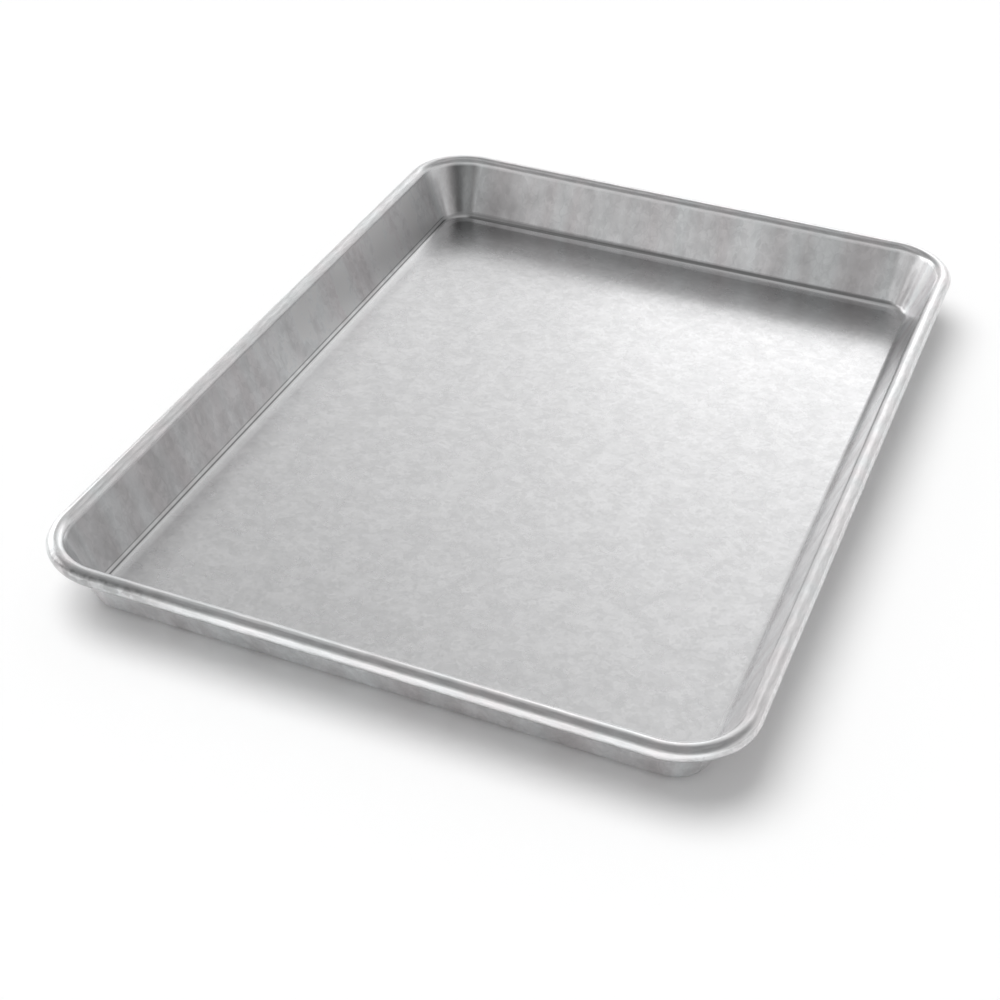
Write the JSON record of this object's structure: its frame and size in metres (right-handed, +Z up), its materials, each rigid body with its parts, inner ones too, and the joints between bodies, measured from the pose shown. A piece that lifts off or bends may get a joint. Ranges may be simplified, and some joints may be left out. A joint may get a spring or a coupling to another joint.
{
  "type": "jelly roll pan",
  "caption": "Shallow oblong baking tray with rounded corners, leaning walls and a rim rolled outward round a stiffening wire.",
  "frame": {"origin": "centre of the flat base's underside, on the surface that the pan stands on", "axes": "+Y along the long sides, +X along the short sides, +Z up out of the pan"},
  "size_m": [0.241, 0.33, 0.0254],
  "materials": {
    "aluminised_sheet": "hot-dipped aluminised sheet, satin grey with a fine mottled spangle and small rub marks, no coating or paint",
    "wire_steel": "plain drawn steel wire, dull grey"
  },
  "bodies": {
    "root": {"pan_shell": "aluminised_sheet", "rim_wire": "wire_steel"}
  },
  "joints": []
}
